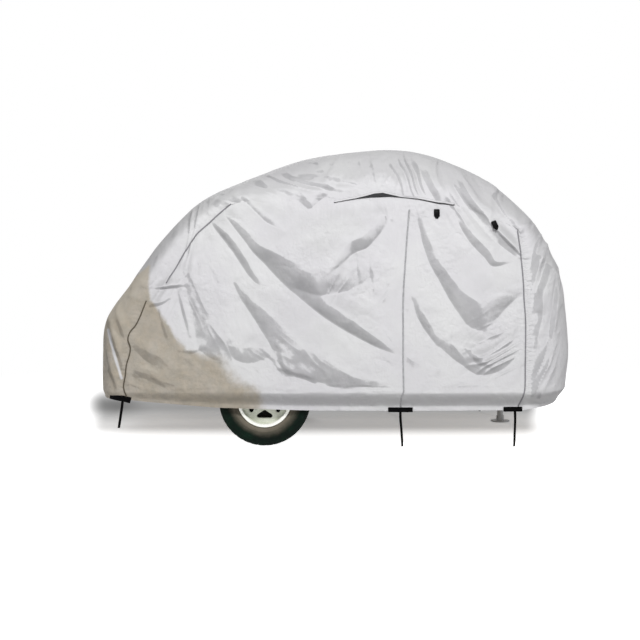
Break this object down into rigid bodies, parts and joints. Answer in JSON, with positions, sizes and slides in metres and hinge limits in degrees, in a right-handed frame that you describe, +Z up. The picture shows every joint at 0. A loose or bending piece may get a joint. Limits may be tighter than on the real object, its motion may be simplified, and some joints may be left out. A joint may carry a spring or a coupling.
{
  "type": "teardrop camper trailer under a fitted storage cover",
  "caption": "Teardrop camper trailer in a fitted fabric storage cover, parked on its wheels and jack, with a telescoping drawbar and swing-down rear steadies.",
  "frame": {"origin": "on the ground below the middle of the covered trailer", "axes": "+X forward, to the drawbar; +Y to the left; +Z up"},
  "size_m": [3.34, 1.872, 2.085],
  "materials": {
    "cover_fabric": "silver-grey coated polyester, soft sheen",
    "zip_tape": "grey zip tape",
    "black_webbing": "black woven webbing",
    "black_plastic": "matte black plastic",
    "body_panel": "gel-coated composite panel",
    "window_glass": "tinted glass",
    "floor_board": "sealed plywood",
    "frame_steel": "black painted steel",
    "plated_steel": "zinc-plated steel",
    "tyre_rubber": "black rubber",
    "rim_alloy": "machined and painted alloy"
  },
  "bodies": {
    "trailer": {"frame_rails": "frame_steel", "cross_members": "frame_steel", "drawbar_receiver": "frame_steel", "axle_beam": "frame_steel", "torsion_arms": "frame_steel", "jack_tube": "frame_steel", "steady_brackets": "frame_steel", "floor_panel": "floor_board", "wheel_boxes": "black_plastic", "side_wall_left": "body_panel", "side_wall_right": "body_panel", "door_left": "body_panel", "door_right": "body_panel", "door_windows": "window_glass", "roof_shell": "body_panel", "rear_hatch": "body_panel", "front_shell": "body_panel", "cover_rear": "cover_fabric", "cover_roof": "cover_fabric", "cover_front": "cover_fabric", "cover_side_left": "cover_fabric", "cover_side_right": "cover_fabric", "cover_door_left": "cover_fabric", "cover_door_right": "cover_fabric", "door_zips": "zip_tape", "vent_flaps": "cover_fabric", "hem_tabs": "black_webbing", "buckles": "black_plastic", "strap_rear_left": "black_webbing", "strap_rear_right": "black_webbing", "strap_mid_left": "black_webbing", "strap_mid_right": "black_webbing", "strap_front_left": "black_webbing", "strap_front_right": "black_webbing"},
    "wheel_left": {"tyre_left": "tyre_rubber", "rim_left": "rim_alloy", "hub_left": "plated_steel"},
    "wheel_right": {"tyre_right": "tyre_rubber", "rim_right": "rim_alloy", "hub_right": "plated_steel"},
    "drawbar": {"drawbar_tube": "plated_steel", "coupler": "plated_steel"},
    "jack": {"jack_leg": "plated_steel", "jack_foot": "plated_steel"},
    "rear_steady_left": {"steady_left": "plated_steel"},
    "rear_steady_right": {"steady_right": "plated_steel"}
  },
  "joints": [
    {"name": "wheel_left_spin", "type": "hinge", "parent": "trailer", "child": "wheel_left", "pos_m": [-0.494, 0.698, 0.321], "axis": [0, 1, 0], "continuous": true},
    {"name": "wheel_right_spin", "type": "hinge", "parent": "trailer", "child": "wheel_right", "pos_m": [-0.494, -0.698, 0.321], "axis": [0, 1, 0], "continuous": true},
    {"name": "drawbar_slide", "type": "slide", "parent": "trailer", "child": "drawbar", "axis": [1, 0, 0], "range_m": [0, 0.85]},
    {"name": "jack_slide", "type": "slide", "parent": "trailer", "child": "jack", "axis": [0, 0, 1], "range_m": [-0.05, 0.12]},
    {"name": "steady_left_swing", "type": "hinge", "parent": "trailer", "child": "rear_steady_left", "pos_m": [-1.3032, 0.33, 0.346], "axis": [0, 1, 0], "range_deg": [0, 90]},
    {"name": "steady_right_swing", "type": "hinge", "parent": "trailer", "child": "rear_steady_right", "pos_m": [-1.3032, -0.33, 0.346], "axis": [0, 1, 0], "range_deg": [0, 90]}
  ]
}
